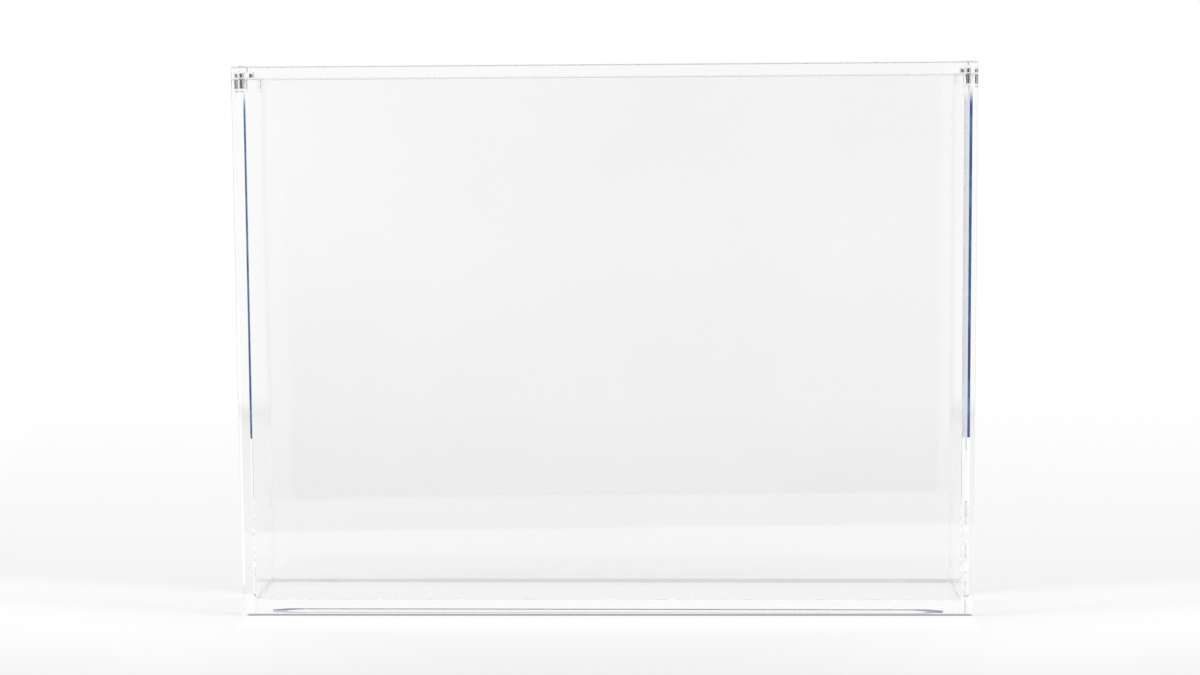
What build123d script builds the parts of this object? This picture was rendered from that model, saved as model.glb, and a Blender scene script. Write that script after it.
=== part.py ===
"""Clear display case for trading cards, with a flat lid that small magnets hold at its corners.

Millimetres, +Z up. The origin is the middle of the footprint, on the surface that the case stands on,
and the front faces -Y. Five cut and polished acrylic panels are cemented into an open box. The lid is
a sixth panel, flush with the walls all round. It lies loose on the wall tops, where a round magnet in
a blind bore near each end of both side panels pulls on a shorter magnet in the lid above it.
"""

import os
from math import radians, tan

from build123d import *

# Outside of the closed case
case_width = 308.0
case_depth = 56.0
case_height = 230.0

# Sheet that each panel is cut from
side_thickness = 5.0
face_thickness = 5.0
base_thickness = 5.0
lid_thickness = 5.0

# Edges and seats: a fine bevel all round, and a wider one down the two back corners of the walls
edge_bevel = 0.3
back_corner_bevel = 2.1
lid_seat_gap = 0.1

# Magnets, and the bores that hold them
magnet_diameter = 3.0
magnet_bevel = 0.2
case_magnet_length = 4.0
lid_magnet_length = 2.0
magnet_side_inset = 3.1
magnet_end_inset = 11.5
magnet_recess = 0.2
bore_clearance = 0.05
case_bore_spare = 0.8
lid_bore_spare = 0.4
drill_point_angle = 118.0

# Worked out from the sizes above
inner_width = case_width - 2 * side_thickness
inner_depth = case_depth - 2 * face_thickness
lid_underside = case_height - lid_thickness
wall_height = lid_underside - lid_seat_gap
magnet_radius = magnet_diameter / 2
bore_radius = magnet_radius + bore_clearance
drill_point = bore_radius / tan(radians(drill_point_angle / 2))
case_bore_depth = magnet_recess + case_magnet_length + case_bore_spare
lid_bore_depth = magnet_recess + lid_magnet_length + lid_bore_spare
magnet_x = case_width / 2 - magnet_side_inset
magnet_y = case_depth / 2 - magnet_end_inset
case_magnet_bottom = wall_height - magnet_recess - case_magnet_length
lid_magnet_bottom = lid_underside + magnet_recess

# Where each magnet pair stands: side -1 is left, end -1 is front
corners = {
    "front_left": (-magnet_x, -magnet_y),
    "front_right": (magnet_x, -magnet_y),
    "back_left": (-magnet_x, magnet_y),
    "back_right": (magnet_x, magnet_y),
}

os.makedirs("parts", exist_ok=True)


def save(part, name):
    """Label a finished piece and write it under its own name."""
    part.label = name
    export_step(part, f"parts/{name}.step")


def blind_bore(depth):
    """What a drill removes: open at Z = 0, running down, with the drill's own cone at its end."""
    with BuildPart() as bore:
        with BuildSketch(Plane.XZ):
            with BuildLine():
                Polyline(
                    (0, 0),
                    (bore_radius, 0),
                    (bore_radius, -depth),
                    (0, -depth - drill_point),
                    close=True,
                )
            make_face()
        revolve(axis=Axis.Z)
    return bore.part


def side_panel(side):
    """Left (side -1) or right (side +1) wall, the full depth of the case, bored from its top edge."""
    with BuildPart() as panel:
        with BuildSketch(Plane.XY):
            with Locations((side * (case_width - side_thickness) / 2, 0)):
                Rectangle(side_thickness, case_depth)
            back_corners = vertices().group_by(Axis.Y)[-1]
            chamfer(back_corners.sort_by(Axis.X)[0 if side < 0 else -1], back_corner_bevel)
        extrude(amount=wall_height)
        inner_face = panel.faces().sort_by(Axis.X)[-1 if side < 0 else 0]
        back_bevel = panel.faces().sort_by(Axis((0, 0, 0), (side, 1, 0)))[-1]
        uprights = back_bevel.edges().filter_by(Axis.Z)
        free_edges = panel.edges() - inner_face.edges() - uprights
        chamfer(free_edges, edge_bevel)
        with Locations(
            (side * magnet_x, -magnet_y, wall_height),
            (side * magnet_x, magnet_y, wall_height),
        ):
            add(case_bore, mode=Mode.SUBTRACT)
    return panel.part


def face_panel(end):
    """Front (end -1) or back (end +1) wall, cemented between the two side panels."""
    with BuildPart() as panel:
        with BuildSketch(Plane.XZ.offset(-end * case_depth / 2)):
            with Locations((0, wall_height / 2)):
                Rectangle(inner_width, wall_height)
        extrude(amount=end * face_thickness)
        outer_face = panel.faces().sort_by(Axis.Y)[0 if end < 0 else -1]
        chamfer(outer_face.edges().filter_by(Axis.X), edge_bevel)
    return panel.part


def magnet(length, place, bottom):
    """A plated disc magnet that stands in its bore, with its lower face at the given height."""
    with BuildPart() as disc:
        with BuildSketch(Plane.XY.offset(bottom)):
            with Locations(place):
                Circle(magnet_radius)
        extrude(amount=length)
        chamfer(disc.edges().filter_by(GeomType.CIRCLE), magnet_bevel)
    return disc.part


case_bore = blind_bore(case_bore_depth)
lid_bore = blind_bore(lid_bore_depth)

# The base lies inside the foot of the four walls, level with their lower edges
with BuildPart() as base_panel:
    with BuildSketch(Plane.XY):
        Rectangle(inner_width, inner_depth)
    extrude(amount=base_thickness)
save(base_panel.part, "base_panel")

save(side_panel(-1), "left_panel")
save(side_panel(1), "right_panel")
save(face_panel(-1), "front_panel")
save(face_panel(1), "back_panel")

# The lid covers the wall tops, and its bores are drilled upwards from below
with BuildPart() as lid_panel:
    with BuildSketch(Plane.XY.offset(lid_underside)):
        Rectangle(case_width, case_depth)
    extrude(amount=lid_thickness)
    chamfer(lid_panel.edges(), edge_bevel)
    with Locations(*[Location((x, y, lid_underside), (180, 0, 0)) for x, y in corners.values()]):
        add(lid_bore, mode=Mode.SUBTRACT)
save(lid_panel.part, "lid_panel")

for corner, place in corners.items():
    save(magnet(case_magnet_length, place, case_magnet_bottom), f"case_magnet_{corner}")
    save(magnet(lid_magnet_length, place, lid_magnet_bottom), f"lid_magnet_{corner}")
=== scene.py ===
# %% [markdown]
# # A clear display case with a lift-off lid
# The real case is a flat pack of polished acrylic sheets: five are cemented into an
# open box, and a sixth lies on top as a lid that four pairs of small disc magnets
# hold. Everything here is in metres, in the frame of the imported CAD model: the
# origin is the middle of the footprint, z = 0 is the surface that the case stands
# on, and the front looks along -Y. The CAD parts already have their finished shape,
# so this lesson is about what makes clear plastic look real: its finish, its
# cemented joints, the floor, and above all the room that its edges mirror.

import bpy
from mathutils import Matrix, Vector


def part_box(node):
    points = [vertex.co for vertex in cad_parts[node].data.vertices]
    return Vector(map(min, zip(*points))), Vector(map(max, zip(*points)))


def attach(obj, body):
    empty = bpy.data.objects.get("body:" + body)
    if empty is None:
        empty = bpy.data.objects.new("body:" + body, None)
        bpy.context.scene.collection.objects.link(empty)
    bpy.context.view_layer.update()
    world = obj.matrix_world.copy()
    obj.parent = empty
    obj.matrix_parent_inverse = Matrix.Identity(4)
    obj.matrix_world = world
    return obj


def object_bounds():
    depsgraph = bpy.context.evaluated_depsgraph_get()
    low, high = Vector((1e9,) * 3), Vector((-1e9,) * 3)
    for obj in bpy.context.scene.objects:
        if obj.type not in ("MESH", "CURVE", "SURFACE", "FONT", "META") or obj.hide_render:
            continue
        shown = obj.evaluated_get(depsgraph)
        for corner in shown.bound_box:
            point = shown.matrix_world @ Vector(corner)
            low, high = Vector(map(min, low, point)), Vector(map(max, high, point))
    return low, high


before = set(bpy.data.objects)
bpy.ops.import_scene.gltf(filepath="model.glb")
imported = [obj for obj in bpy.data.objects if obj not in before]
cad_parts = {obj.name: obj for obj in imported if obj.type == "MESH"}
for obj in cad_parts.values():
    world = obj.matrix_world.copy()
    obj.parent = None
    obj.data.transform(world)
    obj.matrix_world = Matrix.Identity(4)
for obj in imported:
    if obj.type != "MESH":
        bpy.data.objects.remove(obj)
cad_low, cad_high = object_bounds()
print("parts:", sorted(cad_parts))

# %% [markdown]
# ## Planes to work from
# Only a few planes matter to the finishes: where the front and back walls end
# against the side walls, where the base ends against the front and back walls, and
# the base's upper face. They could be typed in as numbers, but read from the parts'
# own boxes they follow every change of size in the CAD source.

# %% Read the planes
import math

import bpy
from mathutils import Matrix, Vector

face_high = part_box("front_panel")[1]
base_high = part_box("base_panel")[1]
side_joint = face_high.x
face_joint = base_high.y
base_top = base_high.z
wall_top = face_high.z
half_width = cad_high.x
half_depth = cad_high.y
print("side joint at x =", round(side_joint, 4), "and base joint at y =", round(face_joint, 4))

# %% [markdown]
# ## A short way to write shader maths
# A shader is a graph of nodes. Placed by hand, each sum is one more node to drag
# about; from Python it reads better as plain arithmetic. `Value` wraps one output
# socket, and each operator on it adds the Math node that does the sum. Two masks are
# joined with `|`, which takes the larger, and cut with `&`, which takes the smaller.


# %% Wrap a socket
class Value:
    """One output of a node; arithmetic on it adds Math nodes."""

    def __init__(self, graph, socket):
        self.graph = graph
        self.socket = socket

    def output(self, name):
        """Another output of the same node."""
        return Value(self.graph, self.socket.node.outputs[name])

    def __add__(self, other):
        return self.graph.math("ADD", self, other)

    def __sub__(self, other):
        return self.graph.math("SUBTRACT", self, other)

    def __rsub__(self, other):
        return self.graph.math("SUBTRACT", other, self)

    def __mul__(self, other):
        return self.graph.math("MULTIPLY", self, other)

    def __truediv__(self, other):
        return self.graph.math("DIVIDE", self, other)

    def __rtruediv__(self, other):
        return self.graph.math("DIVIDE", other, self)

    def __lt__(self, other):
        return self.graph.math("LESS_THAN", self, other)

    def __gt__(self, other):
        return self.graph.math("GREATER_THAN", self, other)

    def __and__(self, other):
        return self.graph.math("MINIMUM", self, other)

    def __or__(self, other):
        return self.graph.math("MAXIMUM", self, other)

    def __abs__(self):
        return self.graph.math("ABSOLUTE", self)

    __radd__ = __add__
    __rmul__ = __mul__


print("a Value adds Math nodes for + - * / < > & | and abs()")

# %% [markdown]
# ## One way to make a node
# `Graph.make` is the only call that adds a node: its settings come first, because
# some of them change which sockets the node has, and then the values or links of its
# sockets. It returns the node's first output, ready for more arithmetic.


# %% Make nodes one way
def set_stops(elements, stops):
    """Gives a colour ramp its stops, as pairs of a place and a tone."""
    while len(elements) < len(stops):
        elements.new(1.0)
    for element, (place, tone) in zip(elements, stops):
        element.position = place
        element.color = (tone, tone, tone, 1.0)


class Graph:
    """The node tree of a material or a world."""

    def __init__(self, owner):
        owner.use_nodes = True
        self.tree = owner.node_tree
        self.tree.nodes.clear()

    def make(self, kind, settings=None, values=None):
        """Adds a node: its settings first, then the values or links of its sockets."""
        node = self.tree.nodes.new(kind)
        for name, setting in (settings or {}).items():
            if name == "stops":
                set_stops(node.color_ramp.elements, setting)
            else:
                setattr(node, name, setting)
        for name, value in (values or {}).items():
            if isinstance(value, Value):
                self.tree.links.new(value.socket, node.inputs[name])
            else:
                node.inputs[name].default_value = value
        return Value(self, node.outputs[0]) if node.outputs else None

    def math(self, operation, *numbers):
        """Adds the Math node of an operation."""
        return self.make("ShaderNodeMath", {"operation": operation}, dict(enumerate(numbers)))


print("graphs of materials and of the world are made the same way")

# %% [markdown]
# ## Masks
# Nearly every finish here is laid out with masks: numbers from 0 to 1 that say where
# something is. A soft step is one, a ridge along a line is another. Light Path counts
# how often a ray was mirrored, and a count is compared half-way between two whole
# numbers, where a rounding error can't matter.

# %% Name the masks
HALF_WAY = 0.5


def clamp(number):
    """The number, held between 0 and 1."""
    return number.graph.make("ShaderNodeClamp", values={"Value": number})


def ramp_up(number, start, end):
    """0 before start, 1 after end, and smooth in between; start may be the larger."""
    settings = {"interpolation_type": "SMOOTHSTEP"}
    values = {"Value": number, "From Min": start, "From Max": end}
    return number.graph.make("ShaderNodeMapRange", settings, values)


def step_up(number, edge, soft):
    """A step from 0 to 1 at an edge, as soft as given to either side of it."""
    return ramp_up(number, edge - soft, edge + soft)


def step_down(number, edge, soft):
    """A step from 1 to 0 at an edge, as soft as given to either side of it."""
    return ramp_up(number, edge + soft, edge - soft)


def ridge(number, middle, reach):
    """1 at the middle, falling evenly to 0 at reach to either side."""
    return clamp(1 - abs(number - middle) / reach)


def more_than(count, whole):
    """1 where a count is over a whole number."""
    return count > whole + HALF_WAY


def at_most(count, whole):
    """1 where a count isn't over a whole number."""
    return count < whole + HALF_WAY


print("masks are ready: clamp, ramp_up, step_up, step_down, ridge, more_than, at_most")

# %% [markdown]
# ## Places, noise and colours
# The three axes of a place and smooth noise are read all over, and so are colours.
# Colours go through Mix nodes, because a Math node would turn them grey.


# %% Name the common nodes
def axes(place):
    """The x, y and z of a place."""
    x = place.graph.make("ShaderNodeSeparateXYZ", values={"Vector": place})
    return x, x.output("Y"), x.output("Z")


def noise(place, size, **more):
    """Smooth noise from 0 to 1 whose features are about the given size in metres."""
    values = {"Vector": place, "Scale": 1 / size, **more}
    return place.graph.make("ShaderNodeTexNoise", values=values)


def scaled(vector, scale):
    """A vector or a colour, multiplied part by part."""
    settings = {"operation": "MULTIPLY"}
    return vector.graph.make("ShaderNodeVectorMath", settings, {0: vector, 1: scale})


def rgba(colour):
    """A colour as a socket takes it, with an alpha of 1 where it is plain numbers."""
    return colour if isinstance(colour, Value) else (*colour, 1.0)


def blend(share, first, second, way="MIX"):
    """A colour that goes from first to second as share goes from 0 to 1."""
    settings = {"data_type": "RGBA", "blend_type": way}
    values = {0: share, 6: rgba(first), 7: rgba(second)}
    return share.graph.make("ShaderNodeMix", settings, values).output(2)


def tinted(colour, share, tint):
    """The colour, multiplied by tint where share is 1."""
    return blend(share, colour, tint, "MULTIPLY")


def mix_shaders(share, first, second):
    """A surface that goes from first to second as share goes from 0 to 1."""
    return first.graph.make("ShaderNodeMixShader", values={0: share, 1: first, 2: second})


print("nodes are ready: axes, noise, scaled, rgba, blend, tinted, mix_shaders")

# %% [markdown]
# ## Cemented faces
# A solvent joint melts two sheets into one, and light then crosses it as if there
# were no surface. The parts stay separate solids that touch face to face, so the
# shader has to turn clear on exactly the faces that are cemented. The meshes could
# be cut and given a second material there, but a mask on the object's own
# coordinates finds the faces by their planes and leaves the meshes alone.

# %% Find the cemented faces
JOINT_REACH = 0.00001
CEMENT_BEAD = 0.0004


def on_plane(axis, plane):
    """1 where the distance from the middle is that of the joint plane."""
    return abs(abs(axis) - plane) < JOINT_REACH


def cemented(place):
    """1 where the cement has melted faces together, under its beads too, and 0 elsewhere."""
    x, y, z = axes(place)
    foot = z < base_top + CEMENT_BEAD
    near_side = abs(x) > side_joint - CEMENT_BEAD
    near_face = abs(y) > face_joint - CEMENT_BEAD
    side_faces = on_plane(x, side_joint) & (near_face | foot)
    end_faces = on_plane(y, face_joint) & (near_side | foot) & (abs(x) < side_joint)
    base_faces = (abs(z - base_top) < JOINT_REACH) & (near_side | near_face)
    return (side_faces | end_faces | base_faces) & (z < wall_top)


# %% [markdown]
# ## The line along the foot
# Low behind the front wall a thin grey line runs along the cemented face. It swells
# and fades near the corners and turns bluer at its bent ends. It could be a sliver of
# mesh inside the joint, but a mask on the joint's face is enough, since it only has
# to dim the light that crosses there.

# %% Draw the line along the foot
FOOT_LINE = 0.00095
FOOT_LINE_HALF = 0.00022
FOOT_LINE_FALL = 0.0008
FOOT_LINE_BEND = 0.129
FOOT_LINE_DROP = 0.0005
FOOT_LINE_END = 0.1415
FOOT_SWELL = 0.1355
FOOT_SWELL_SIZE = 1.2


def foot_line(place):
    """The mask of the line, and how far each place is along its bent ends."""
    x, y, z = axes(place)
    end = ramp_up(abs(x), FOOT_LINE_BEND, FOOT_LINE_END)
    swell = ridge(abs(x), FOOT_SWELL, side_joint - FOOT_LINE_END)
    half = FOOT_LINE_HALF * (1 + swell * FOOT_SWELL_SIZE)
    height = FOOT_LINE - end * FOOT_LINE_DROP - (x | 0.0) * FOOT_LINE_FALL
    line = (abs(z - height) < half) & (abs(y + face_joint) < JOINT_REACH)
    return line & (abs(x) < FOOT_LINE_END), end


# %% [markdown]
# ## Scraped edges
# A sheet's faces and its flame-polished edges are glossy, but the narrow bevels
# along its rims are scraped by hand and stay satin. They draw the fine grey lines
# round the lid and along the seam below it. The bevels could be picked one by one
# and given a material of their own, but a mask finds them all: a slanting face has
# more than one large part in its normal, so the sum of the three parts tells it from
# the flat ones. The two wide bevels on the back corners are polished and left out.

# %% Find the scraped edges
SCRAPE = 0.0004
SLANT = 1.2
CORNER_PART = 0.5


def scraped(place):
    """1 on the narrow bevels of the rims and of the lid's seam."""
    geometry = place.graph.make("ShaderNodeNewGeometry")
    across, along, up = (abs(part) for part in axes(geometry.output("True Normal")))
    x, y, z = axes(place)
    rim = (abs(x) > half_width - SCRAPE) | (abs(y) > half_depth - SCRAPE)
    seam = abs(z - wall_top) < SCRAPE
    slanting = across + along + up > SLANT
    back_corner = (y > 0) & (across > CORNER_PART) & (along > CORNER_PART)
    return slanting & (rim | seam) & (1 - back_corner) & (z > base_top)


# %% [markdown]
# ## The polish of a sheet
# Handled sheets are never perfect. A web of hairlines in worn patches and some fine
# dust make the surface a little rougher here and there. An image of scratches would
# do too, but the edges of Voronoi cells are straight thin lines already, and a level
# of smooth noise decides where they show.

# %% Roughen the polish
SCRAPED_ROUGHNESS = 0.35
SCRATCH_CELLS = 45.0
SCRATCH_WIDTH = 0.004
SCRATCH_ROUGHNESS = 0.03
WORN_PATCH = 0.03
WORN_LEVEL = 0.56
DUST_SPECK = 0.0006
DUST_LEVEL = 0.72
DUST_ROUGHNESS = 0.02


def polish(place):
    """The roughness of a polished sheet: hairlines, dust and satin bevels."""
    settings = {"feature": "DISTANCE_TO_EDGE"}
    values = {"Vector": place, "Scale": SCRATCH_CELLS}
    cells = place.graph.make("ShaderNodeTexVoronoi", settings, values)
    scratches = (cells < SCRATCH_WIDTH) & (noise(place, WORN_PATCH) > WORN_LEVEL)
    dust = noise(place, DUST_SPECK) > DUST_LEVEL
    marks = scratches * SCRATCH_ROUGHNESS + dust * DUST_ROUGHNESS
    return marks + scraped(place) * SCRAPED_ROUGHNESS


print("hairlines of roughness", SCRATCH_ROUGHNESS, "and bevels of", SCRAPED_ROUGHNESS)

# %% [markdown]
# ## The melt of a joint
# A cemented face isn't quite gone: a trace of the cement's own tone is left, and the
# line along the foot is dark. Glass with an index of 1 would let light through
# unbent as well, but a Transparent shader does it with nothing left to mirror, and
# its colour is simply the share of the light that passes.

# %% Melt the joints
CEMENT_TINT = (0.990, 0.990, 0.992)
FOOT_LINE_TINT = (0.50, 0.50, 0.53)
FOOT_END_TINT = (0.42, 0.45, 0.56)


def clear(graph, tint=(1.0, 1.0, 1.0)):
    """A surface that light crosses unbent, a little tinted."""
    return graph.make("ShaderNodeBsdfTransparent", values={"Color": rgba(tint)})


def welded(place):
    """The clear shader of a cemented face, with the line along the foot."""
    line, end = foot_line(place)
    dark = mix_shaders(end, clear(place.graph, FOOT_LINE_TINT), clear(place.graph, FOOT_END_TINT))
    return mix_shaders(line, clear(place.graph, CEMENT_TINT), dark)


print("cement lets through", CEMENT_TINT[0], "of the light")

# %% [markdown]
# ## Clear acrylic
# Cast acrylic bends light like glass, a little less strongly: its index of
# refraction is 1.49. A Glass shader could do that, but a Principled shader with full
# transmission does it too and is the one that other programs understand. The slow
# waviness of a cast sheet goes through a Bump node, and on cemented faces the clear
# shader takes over.

# %% Make the acrylic
ACRYLIC_INDEX = 1.49
WAVE_LENGTH = 0.06
WAVE_STRENGTH = 0.02
WAVE_HEIGHT = 0.0001


def acrylic(name, joints=True, clearness=0.0):
    """Polished cast acrylic; joints for a cemented sheet, clearness for thin beads."""
    material = bpy.data.materials.new(name)
    graph = Graph(material)
    place = graph.make("ShaderNodeTexCoord").output("Object")
    waves = noise(place, WAVE_LENGTH, Detail=0.0)
    bump = {"Height": waves, "Strength": WAVE_STRENGTH, "Distance": WAVE_HEIGHT}
    values = {
        "Base Color": (1.0, 1.0, 1.0, 1.0),
        "Transmission Weight": 1.0,
        "IOR": ACRYLIC_INDEX,
        "Roughness": polish(place),
        "Normal": graph.make("ShaderNodeBump", values=bump),
    }
    body = graph.make("ShaderNodeBsdfPrincipled", values=values)
    if joints:
        body = mix_shaders(cemented(place), body, welded(place))
    if clearness:
        body = mix_shaders(clearness, body, clear(graph))
    graph.make("ShaderNodeOutputMaterial", values={"Surface": body})
    return material


print("acrylic bends light with an index of", ACRYLIC_INDEX)

# %% [markdown]
# ## Dress the panels
# Every CAD part has one material slot, and its mesh stays as it is. The five panels of
# the casing get the acrylic with clear joints. The loose lid gets it without, since
# nothing is cemented to it and its seam has to stay visible.


# %% Dress the panels
def dress(material, names):
    """Puts a material on CAD parts, in place of the one they came with."""
    for name in names:
        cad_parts[name].material_slots[0].material = material
    print(material.name, "on", names)


casing = ["base_panel", "front_panel", "back_panel", "left_panel", "right_panel"]
dress(acrylic("acrylic_cemented"), casing)
dress(acrylic("acrylic_lid", joints=False), ["lid_panel"])

# %% [markdown]
# ## Nickel plate
# The small magnets are pressed and plated: bright nickel, a little warm, with fine
# grain and the odd rubbed spot. A metal is a Principled shader with Metallic at 1,
# and what varies is its roughness and, on the rubbed spots, its colour. Painted
# images would need an unwrapped mesh for each magnet; noise on the object's own
# coordinates needs none and gives each magnet its own grain.

# %% Make the nickel plate
NICKEL = (0.66, 0.62, 0.55)
NICKEL_DULL = (0.42, 0.40, 0.37)
NICKEL_ROUGHNESS = 0.02
GRAIN = 0.00025
GRAIN_ROUGHNESS = 0.04
RUBBED_SPOT = 0.0012
RUBBED_LEVELS = (0.55, 0.70)
RUBBED_ROUGHNESS = 0.06


def nickel_plate():
    """Bright plate with a fine grain and dull rubbed spots."""
    material = bpy.data.materials.new("nickel_plate_grained")
    graph = Graph(material)
    place = graph.make("ShaderNodeTexCoord").output("Object")
    grain = noise(place, GRAIN, Detail=4.0)
    rubbed = ramp_up(noise(place, RUBBED_SPOT), *RUBBED_LEVELS)
    values = {
        "Base Color": blend(rubbed, NICKEL, NICKEL_DULL),
        "Metallic": 1.0,
        "Roughness": grain * GRAIN_ROUGHNESS + rubbed * RUBBED_ROUGHNESS + NICKEL_ROUGHNESS,
    }
    body = graph.make("ShaderNodeBsdfPrincipled", values=values)
    graph.make("ShaderNodeOutputMaterial", values={"Surface": body})
    return material


dress(nickel_plate(), [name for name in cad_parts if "magnet" in name])

# %% [markdown]
# ## Beads of cement
# When two sheets are joined, a little cement wells up along the inside corner and
# sets as a fine concave bead. It could be swept along each corner, but there is a
# quicker way: a block that just fills the case's hollow has its lower and upright
# edges rounded over with Bevel, and that rounded block is cut out of a plain one.
# What is left are the beads, already mitred where they meet.

# %% Model the beads
BEAD_STEPS = 3
BEAD_TOP_GAP = 0.0008
BEAD_CLEARNESS = 0.35


def hollow_block(name):
    """A block that fills the hollow of the case, up to a little below the wall tops."""
    bpy.ops.object.select_all(action="DESELECT")
    top = wall_top - BEAD_TOP_GAP
    bpy.ops.mesh.primitive_cube_add(size=1.0, location=(0.0, 0.0, (base_top + top) / 2))
    block = bpy.context.object
    block.name = name
    block.scale = (2 * side_joint, 2 * face_joint, top - base_top)
    bpy.ops.object.transform_apply(location=True, rotation=False, scale=True)
    return block


def round_over(block):
    """Bevels the block's edges, all but the four round its top."""
    bpy.ops.object.mode_set(mode="EDIT")
    bpy.ops.mesh.select_mode(type="EDGE")
    bpy.ops.mesh.select_all(action="DESELECT")
    bpy.ops.object.mode_set(mode="OBJECT")
    corners = block.data.vertices
    for edge in block.data.edges:
        edge.select = min(corners[index].co.z for index in edge.vertices) < base_top + CEMENT_BEAD
    bpy.ops.object.mode_set(mode="EDIT")
    bpy.ops.mesh.bevel(offset=CEMENT_BEAD, segments=BEAD_STEPS, profile=0.5, affect="EDGES")
    bpy.ops.object.mode_set(mode="OBJECT")


def make_beads():
    """What is left of the block when the rounded one is cut out of it."""
    cutter = hollow_block("bead_cutter")
    round_over(cutter)
    beads = hollow_block("cement_beads")
    cut = beads.modifiers.new("cut", "BOOLEAN")
    cut.operation = "DIFFERENCE"
    cut.solver = "EXACT"
    cut.object = cutter
    bpy.ops.object.modifier_apply(modifier=cut.name)
    bpy.data.objects.remove(cutter)
    beads.data.materials.clear()
    beads.data.materials.append(acrylic("acrylic_bead", clearness=BEAD_CLEARNESS))
    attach(beads, "case")
    return beads


beads = make_beads()
print("bead faces:", len(beads.data.polygons))

# %% [markdown]
# ## Floor
# The case stands on a plain white sweep. Clear plastic shows its surroundings, so
# the floor has real edges: it ends a little in front of the case and some way to
# its sides, and beyond those edges the plastic mirrors the dim room instead. The
# front edge runs a little askew, as a table does that nobody has lined up. A sweep
# could be curved up behind the case, but the white world does the same as a backdrop,
# so a flat plane is enough.

# %% Make the floor
FLOOR_DROP = 0.00005
FLOOR_REACH = 0.437
FLOOR_FRONT = -0.227
FLOOR_BACK = 2.2
FLOOR_SKEW = -0.03


def make_floor():
    """A plane whose front edge runs askew."""
    bpy.ops.object.select_all(action="DESELECT")
    middle = (0.0, (FLOOR_FRONT + FLOOR_BACK) / 2, -FLOOR_DROP)
    bpy.ops.mesh.primitive_plane_add(size=1.0, location=middle)
    floor = bpy.context.object
    floor.name = "floor"
    floor.scale = (2 * FLOOR_REACH, FLOOR_BACK - FLOOR_FRONT, 1.0)
    bpy.ops.object.transform_apply(location=True, rotation=False, scale=True)
    for corner in floor.data.vertices:
        if corner.co.y < 0:
            corner.co.y += FLOOR_SKEW * (1 if corner.co.x > 0 else -1)
    return floor


floor = make_floor()
print("floor reaches", FLOOR_REACH, "m to each side")

# %% [markdown]
# ## Tones of the floor
# Clear sheets bend and mirror the light that falls on them, so they throw faint
# bands on the paper round them. Tracing such caustics takes a very long render; a
# soft ramp along the floor, fanned out beside the case, paints the same bands of
# light and shade at once. The same ramp paints the case's faint shadow just behind it
# and a shade that grows towards the floor's front edge, where less light falls. Each
# stop is a place along Y, in metres, and a tone. The last stops lie where the floor
# already fades into the white backdrop, so they are darker than they look. Each thin
# ray from a corner is a painted streak, of shadow where its tone is below 1 and of
# light where it is above, with its place, its width there and its own tone.

# %% List the floor's tones
FLOOR_TONES = (
    (-0.232, 0.88),
    (-0.144, 0.935),
    (-0.12, 0.962),
    (-0.10, 0.982),
    (-0.08, 1.0),
    (-0.06, 0.996),
    (-0.044, 0.981),
    (-0.036, 0.968),
    (-0.028, 0.961),
    (-0.018, 0.967),
    (-0.008, 0.963),
    (0.000, 0.954),
    (0.008, 0.938),
    (0.016, 0.922),
    (0.024, 0.916),
    (0.034, 0.916),
    (0.07, 0.927),
    (0.13, 0.9365),
    (0.18, 0.939),
    (0.26, 0.9395),
    (0.30, 0.938),
    (0.38, 0.933),
    (0.46, 0.926),
    (0.52, 0.915),
    (0.56, 0.90),
    (0.62, 0.85),
    (0.72, 1.0),
    (0.80, 1.0),
)
FAN_SLOPE = 0.3
# painted streaks of shadow and light from the case's corners: place, width, tone
CORNER_RAYS = ((0.020, 0.004, 0.95), (0.004, 0.009, 1.10), (-0.031, 0.004, 0.90))
RAY_SPREAD = 0.2
RAY_FADE = 100.0


def toned(place, tones):
    """The tone that a list gives to each place, through one colour ramp."""
    first, last = tones[0][0], tones[-1][0]
    stops = [((stop - first) / (last - first), tone) for stop, tone in tones]
    values = {0: (place - first) / (last - first)}
    return place.graph.make("ShaderNodeValToRGB", {"stops": stops}, values)


def bands(x, y):
    """The floor's painted light and shade: its bands and the thin rays from the case's corners.
    """
    aside = (abs(x) - half_width) | 0.0
    fanned = y - aside * FAN_SLOPE
    tone = toned(fanned, FLOOR_TONES)
    for place, width, level in CORNER_RAYS:
        ray = ridge(fanned, place, aside * RAY_SPREAD + width)
        outside = ray & (abs(x) > half_width)
        tone = tinted(tone, outside / (aside * RAY_FADE + 1.0), (level, level, level))
    return tone


print("floor tones:", len(FLOOR_TONES))

# %% [markdown]
# ## Shadows of the case
# Polished sheets shade the floor very little, apart from where light is caught in
# their edges, and that shade is painted here: a dark strip of shadow lies along the
# front wall's foot, a fainter one shows through the base below the back wall, the
# floor under the case is a little darker, and the lid leaves a faint shadow behind
# the case, deepest in its middle near the case. Before the case the floor is painted
# a little darker, with a painted gleam of light along the dark strip. They could be
# traced as well, at the same price as the bands, so each is a mask with a tint, laid
# over the bands one after the other.

# %% Paint the shadows
# painted shade on the floor under the case, as tones along Y
UNDER_CASE_SHADE = (
    (-0.028, 0.93),
    (-0.020, 0.93),
    (-0.016, 0.882),
    (-0.003, 0.882),
    (0.003, 0.912),
    (0.028, 0.905),
)
BACK_FOOT = (0.018, 0.026)
BACK_FOOT_SKEW = 0.005
BACK_FOOT_SHADE = (0.50, 0.52, 0.57)
LID_SHADOW = (0.98, 0.98, 0.98)
LID_SHADOW_END = 0.104
LID_SHADOW_SOFT = 0.006
POOL_SHADE = (0.975, 0.975, 0.975)
POOL_SIDES = (0.14, 0.03)
POOL_BACK = (0.10, 0.05)
FRONT_SHADE = (0.948, 0.948, 0.948)
FRONT_SHADE_START = (-0.054, -0.080)
FRONT_SHADE_SIDES = (0.2, 0.04)
GLEAM = (1.05, 1.05, 1.05)
GLEAM_END = (-0.064, -0.044)
EDGE_SHADOW = (0.45, 0.43, 0.49)
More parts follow.
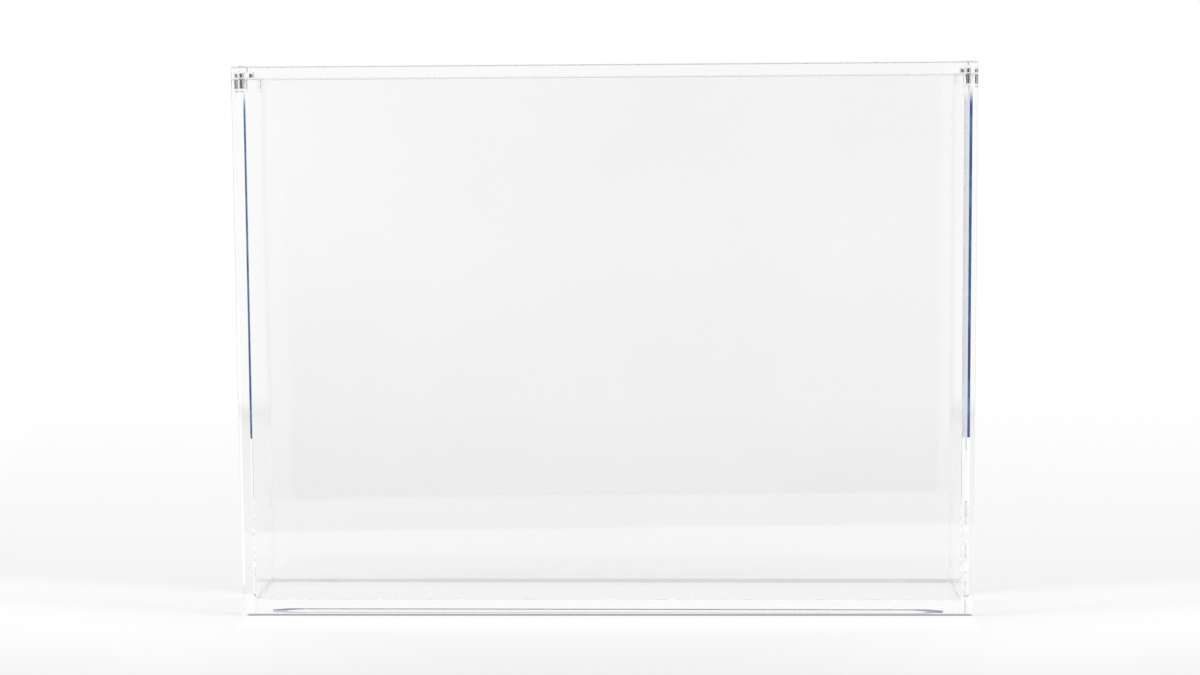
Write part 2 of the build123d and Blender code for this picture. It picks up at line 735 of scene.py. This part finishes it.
EDGE_SHADOW_GAP = 0.0012
EDGE_SHADOW_WIDTH = 0.005
EDGE_SHADOW_SOFT = 0.0003
EDGE_SHADOW_REACH = 0.152
EDGE_SHADOW_END_SOFT = 0.001
EDGE_SHADOW_ASIDE = 0.001
EDGE_SHADOW_SKEW = 0.006


def edge_shadow(x, y):
    """The mask of the dark strip before the front wall, and of all that lies beyond it."""
    ahead = x * EDGE_SHADOW_SKEW - y - half_depth
    beyond = step_up(ahead, EDGE_SHADOW_WIDTH, EDGE_SHADOW_SOFT)
    within = step_down(abs(x - EDGE_SHADOW_ASIDE), EDGE_SHADOW_REACH, EDGE_SHADOW_END_SOFT)
    strip = (1 - beyond) & (ahead > EDGE_SHADOW_GAP) & (y < -half_depth) & within
    return strip, beyond & within


def shaded(tone, x, y):
    """The floor's tone with all of the case's shadows on it."""
    inner = abs(x) < half_width
    behind = step_down(y, LID_SHADOW_END, LID_SHADOW_SOFT) & (y > half_depth)
    tone = tinted(tone, behind & inner, LID_SHADOW)
    pool = behind & ramp_up(abs(x), *POOL_SIDES) & ramp_up(y, *POOL_BACK)
    tone = tinted(tone, pool, POOL_SHADE)
    under = inner & (abs(y) < half_depth)
    tone = tinted(tone, under, toned(y, UNDER_CASE_SHADE))
    back_foot = (y > BACK_FOOT[0]) & (y < BACK_FOOT[1] + x * BACK_FOOT_SKEW)
    tone = tinted(tone, inner & back_foot, BACK_FOOT_SHADE)
    before = ramp_up(y, *FRONT_SHADE_START) & ramp_up(abs(x), *FRONT_SHADE_SIDES)
    tone = tinted(tone, before, FRONT_SHADE)
    strip, beyond = edge_shadow(x, y)
    tone = tinted(tone, beyond & ramp_up(y, *GLEAM_END), GLEAM)
    return tinted(tone, strip, EDGE_SHADOW)


print("the lid's pale patch ends", LID_SHADOW_END, "m behind the middle")

# %% [markdown]
# ## Paint of the floor
# The paper has to look white without so much light that the case gets too bright, so
# most of its tone is a glow and the rest is plain paint, which still takes shadow. A
# ray that was never mirrored sees the floor fade out into the white backdrop, so its
# edges don't show. Rays that were mirrored more than once run along inside a sheet
# and find the floor a little brighter, as they do near a lit paper's edge.

# %% Paint the floor
FLOOR_GLOW = 0.9
EDGE_GLARE = (1.12, 1.12, 1.12)
FADE_MARGIN = 0.002
SIDE_FADE = (0.3, FLOOR_REACH - FADE_MARGIN)
BACK_FADE = (0.10, 0.70)
FRONT_FADE = (-0.142, FLOOR_FRONT - FLOOR_SKEW + FADE_MARGIN)


def floor_paint():
    """White paper that glows a little and fades out before its edges."""
    material = bpy.data.materials.new("white_sweep")
    graph = Graph(material)
    x, y = axes(graph.make("ShaderNodeTexCoord").output("Object"))[:2]
    mirrored = graph.make("ShaderNodeLightPath").output("Glossy Depth")
    tone = shaded(bands(x, y), x, y)
    tone = tinted(tone, more_than(mirrored, 1), EDGE_GLARE)
    values = {
        "Base Color": scaled(tone, (1 - FLOOR_GLOW,) * 3),
        "Specular IOR Level": 0.0,
        "Emission Color": tone,
        "Emission Strength": FLOOR_GLOW,
    }
    paper = graph.make("ShaderNodeBsdfPrincipled", values=values)
    faded = ramp_up(abs(x), *SIDE_FADE) | ramp_up(y, *BACK_FADE) | ramp_up(y, *FRONT_FADE)
    body = mix_shaders(faded & at_most(mirrored, 0), paper, clear(graph))
    graph.make("ShaderNodeOutputMaterial", values={"Surface": body})
    return material


floor.data.materials.append(floor_paint())
print("floor paint glows with", FLOOR_GLOW, "of its light")

# %% [markdown]
# ## The room
# Seen straight through the case, the backdrop is plain white. What draws the case is
# what its edges mirror, and there the room isn't white all round. Behind and above
# it is white. Beside the table it is a dark blue room, with bright soft boxes above
# table height and a narrow pale panel at each end of the table. The shader works
# this out from the direction that a ray leaves in; an image of a room could do the
# same, but plain zones are easier to place.

# %% Colour the sides
WHITE = (1.0, 1.0, 1.0)
NAVY = (0.045, 0.095, 0.26)
TEAL = (0.10, 0.24, 0.42)
STREAK_SHAPE = (1.0, 1.0, 14.0)
STREAK_SIZE = 0.25
STREAK_LEVELS = (0.4, 0.7)
TABLE_HEIGHT_SOFT = 0.004
PANEL = (0.42, 0.50, 0.62)
PANEL_EDGE = (0.075, 0.055)


def beside_table(direction):
    """Dark blue and streaky below table height, pale straight to the sides, white above."""
    y, z = axes(direction)[1:]
    streaks = noise(scaled(direction, STREAK_SHAPE), STREAK_SIZE, Detail=3.0)
    side_room = blend(ramp_up(streaks, *STREAK_LEVELS), NAVY, TEAL)
    side_room = blend(ramp_up(abs(y), *PANEL_EDGE), side_room, PANEL)
    return blend(step_up(z, 0.0, TABLE_HEIGHT_SOFT), side_room, WHITE)


print("sides of the room:", NAVY, "to", TEAL, "with panels of", PANEL)

# %% [markdown]
# ## The camera's side
# The half of the room that the case faces is dim and a little cloudy. It gets
# brighter upwards and to the left, and a low band glimmers where the wall behind the
# camera catches some light. Rays that were mirrored more than once come out of a
# sheet's edge and find it bright, since polished edges look light and not black.

# %% Colour the camera's side
BLACK = (0.0, 0.0, 0.0)
DIM = 0.11
CLOUD_SIZE = 0.07
CLOUD_DEPTH = 0.25
CLOUD_MIDDLE = 0.5
UPPER_GLIMMER = 0.14
UPPER_EDGE = (-0.15, 0.0)
LEFT_GLIMMER = 0.26
LEFT_EDGE = (-0.04, -0.17)
WALL_GLIMMER = 0.08
WALL_HEIGHT = -0.062
WALL_SPREAD = 0.045
INNER_GLIMMER = 0.8


def camera_side(direction, mirrored):
    """Dim and cloudy; rays mirrored twice or more find it bright."""
    x, _, z = axes(direction)
    upper = ramp_up(z, *UPPER_EDGE)
    left = ramp_up(x, *LEFT_EDGE)
    wall = ridge(z, WALL_HEIGHT, WALL_SPREAD)
    clouds = noise(direction, CLOUD_SIZE, Detail=1.0) - CLOUD_MIDDLE
    glimmer = upper * UPPER_GLIMMER + left * upper * LEFT_GLIMMER + wall * WALL_GLIMMER
    glimmer = glimmer + clouds * CLOUD_DEPTH + DIM
    return blend(glimmer | more_than(mirrored, 1) * INNER_GLIMMER, BLACK, WHITE)


print("the camera's side has", DIM, "of the backdrop's light")

# %% [markdown]
# ## Dark cores for the magnets
# A magnet sits at the end of its bore and mirrors what stands low by the camera: the
# dark stand and the legs of the table. A ray on that way has crossed more than three
# surfaces when it leaves, so only such rays find the dark zone. Dark boards could be
# stood there instead, but then the large plain walls would mirror them too.

# %% Darken the cores
CORE = (0.004, 0.004, 0.006)
CORE_TOP = 0.05
CORE_GAP = 0.185
SURFACES_BEFORE_CORE = 3
CAMERA_SIDE = 0.39


def dark_cores(direction, path):
    """1 where the dark zone low by the camera is seen from inside the sheets."""
    x, _, z = axes(direction)
    mirrored = path.output("Glossy Depth")
    inside = more_than(path.output("Transmission Depth"), SURFACES_BEFORE_CORE)
    once = at_most(mirrored, 1) & (x < CAMERA_SIDE)
    twice = more_than(mirrored, 1) & at_most(mirrored, 2) & (x > 0)
    low = (z > 0) & (z < CORE_TOP) & (abs(x) > CORE_GAP)
    return inside & low & (once | twice)


print("cores turn dark after", SURFACES_BEFORE_CORE, "surfaces")

# %% [markdown]
# ## Put the room together
# The world takes the four zones in turn: the sides, the camera's side, the backdrop
# and the ceiling. Light Path says which picture a ray needs: one that was mirrored
# sees the room, and any other sees plain white.

# %% Put up the room
FRONT_EDGE = (0.0, -0.02)
BACKDROP_EDGE = 0.35
BACKDROP_SOFT = 0.02
CEILING = 0.6
CEILING_SOFT = 0.05


def make_world():
    """White for every ray that was never mirrored, and the room for all others."""
    world = bpy.data.worlds.new("studio")
    bpy.context.scene.world = world
    graph = Graph(world)
    direction = graph.make("ShaderNodeTexCoord").output("Generated")
    x, y, z = axes(direction)
    path = graph.make("ShaderNodeLightPath")
    mirrored = path.output("Glossy Depth")
    front = ramp_up(y, *FRONT_EDGE)
    near = front & (abs(x) < CAMERA_SIDE)
    room = blend(near, beside_table(direction), camera_side(direction, mirrored))
    room = blend(front & dark_cores(direction, path), room, CORE)
    backdrop = step_up(y, BACKDROP_EDGE, BACKDROP_SOFT)
    ceiling = step_up(z, CEILING, CEILING_SOFT)
    room = blend(backdrop | ceiling, room, WHITE)
    colour = blend(more_than(mirrored, 0), WHITE, room)
    background = graph.make("ShaderNodeBackground", values={"Color": colour})
    graph.make("ShaderNodeOutputWorld", values={"Surface": background})


make_world()
print("world nodes:", len(bpy.context.scene.world.node_tree.nodes))

# %% [markdown]
# ## Camera
# The case fills the frame from nearly straight ahead and just below its top, which
# shows the lid edge-on and the floor through the front wall. A constraint could aim
# the camera at the case, but it would hold it level, and a real camera is always a
# little off, so its three turns are written out as angles.

# %% Place the camera
LENS = 72.0
NEAREST = 0.01
CAMERA_PLACE = Vector((0.03733, -1.02141, 0.2159))
CAMERA_YAW = math.radians(-2.2511)
CAMERA_PITCH = math.radians(5.7004)
CAMERA_ROLL = math.radians(-0.3927)


def camera_turn():
    """The camera's axes, from its yaw to the right, pitch down and roll."""
    level = Vector((math.sin(CAMERA_YAW), math.cos(CAMERA_YAW), 0.0))
    right = Vector((math.cos(CAMERA_YAW), -math.sin(CAMERA_YAW), 0.0))
    up = Vector((0.0, 0.0, 1.0))
    ahead = level * math.cos(CAMERA_PITCH) - up * math.sin(CAMERA_PITCH)
    top = up * math.cos(CAMERA_PITCH) + level * math.sin(CAMERA_PITCH)
    across = right * math.cos(CAMERA_ROLL) + top * math.sin(CAMERA_ROLL)
    top = top * math.cos(CAMERA_ROLL) - right * math.sin(CAMERA_ROLL)
    return Matrix((across, top, -ahead)).transposed()


bpy.ops.object.camera_add(location=CAMERA_PLACE, rotation=camera_turn().to_euler())
camera = bpy.context.object
camera.data.lens = LENS
camera.data.clip_start = NEAREST
bpy.context.scene.camera = camera
print("camera", [round(value, 3) for value in camera.location])

# %% [markdown]
# ## Render choices
# Light that enters a sheet's edge runs along inside it like light in a fibre and is
# mirrored dozens of times before it leaves at another edge. Cut short, such a path
# ends black and leaves dark lines in the corners, so the bounce limits are high.
# The Standard view transform keeps white paper white.

# %% Finish
MOST_BOUNCES = 120
cycles = bpy.context.scene.cycles
cycles.max_bounces = MOST_BOUNCES
cycles.glossy_bounces = MOST_BOUNCES
cycles.transmission_bounces = MOST_BOUNCES
cycles.transparent_max_bounces = MOST_BOUNCES
bpy.context.scene.view_settings.view_transform = "Standard"
